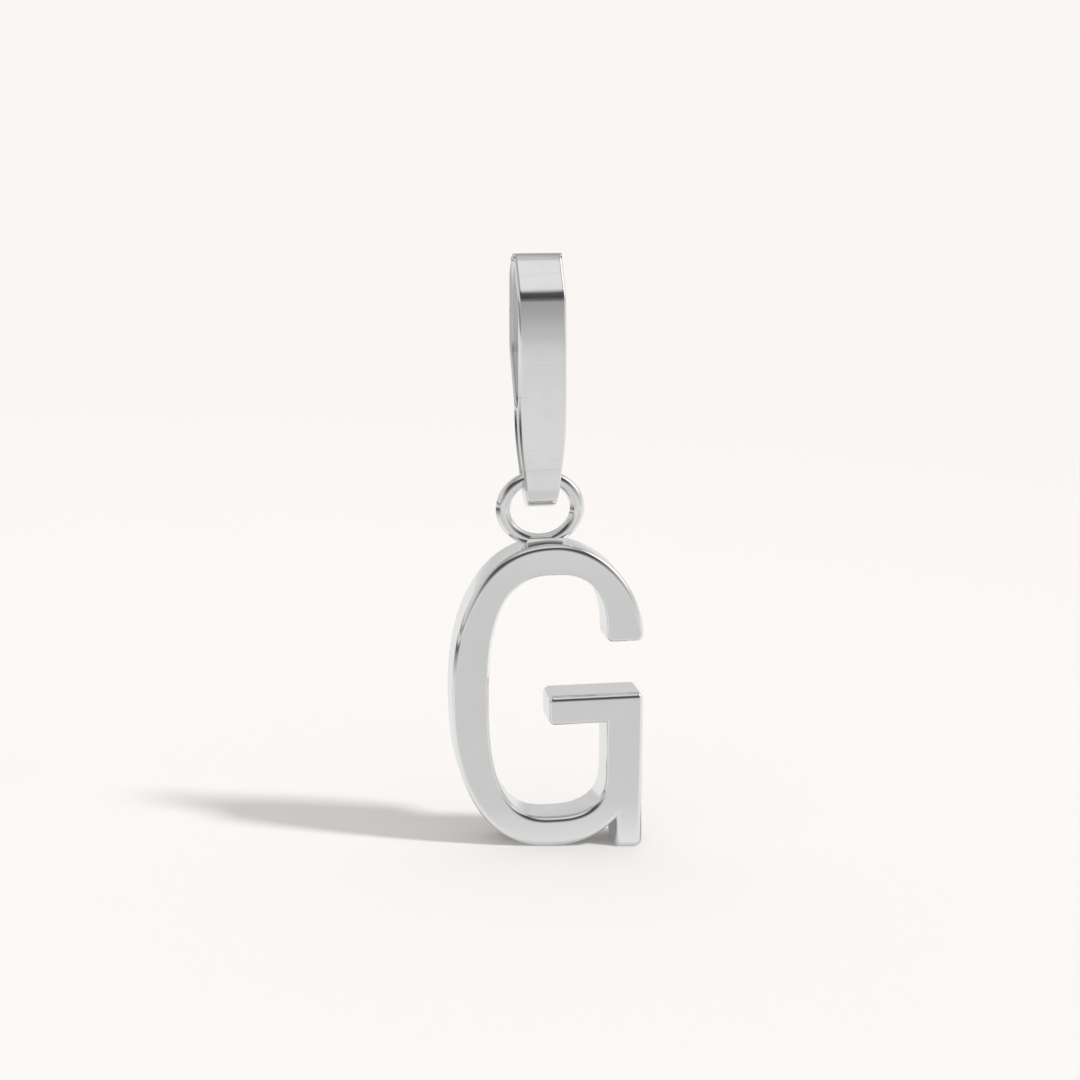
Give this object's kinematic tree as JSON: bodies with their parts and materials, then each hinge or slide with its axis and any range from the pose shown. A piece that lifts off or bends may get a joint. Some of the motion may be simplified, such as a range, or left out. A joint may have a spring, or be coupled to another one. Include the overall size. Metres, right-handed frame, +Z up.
{
  "type": "initial pendant",
  "caption": "Letter G charm in polished silver with a soldered wire eye, swinging in a narrow strap bail whose front gate opens on a top hinge to clip over a chain.",
  "frame": {"origin": "the underside of the bail's hinge barrel, where a chain carries the pendant", "axes": "+Z up, +X to the letter's stem side as it is read, -Y towards the reader, out of the letter's front face"},
  "size_m": [0.0093, 0.0035, 0.0288],
  "materials": {
    "letter_silver": "polished sterling silver",
    "bail_silver": "polished sterling silver",
    "gate_silver": "polished sterling silver",
    "pin_silver": "polished silver wire"
  },
  "bodies": {
    "bail": {"bail_frame": "bail_silver", "hinge_pin": "pin_silver"},
    "gate": {"bail_gate": "gate_silver"},
    "charm": {"letter": "letter_silver"}
  },
  "joints": [
    {"name": "gate_hinge", "type": "hinge", "parent": "bail", "child": "gate", "pos_m": [0, 0, 0.00026], "axis": [-1, 0, 0], "range_deg": [0, 60]},
    {"name": "charm_swing", "type": "hinge", "parent": "bail", "child": "charm", "pos_m": [0, -0.00085, -0.00985], "axis": [1, 0, 0], "range_deg": [-75, 75]}
  ]
}
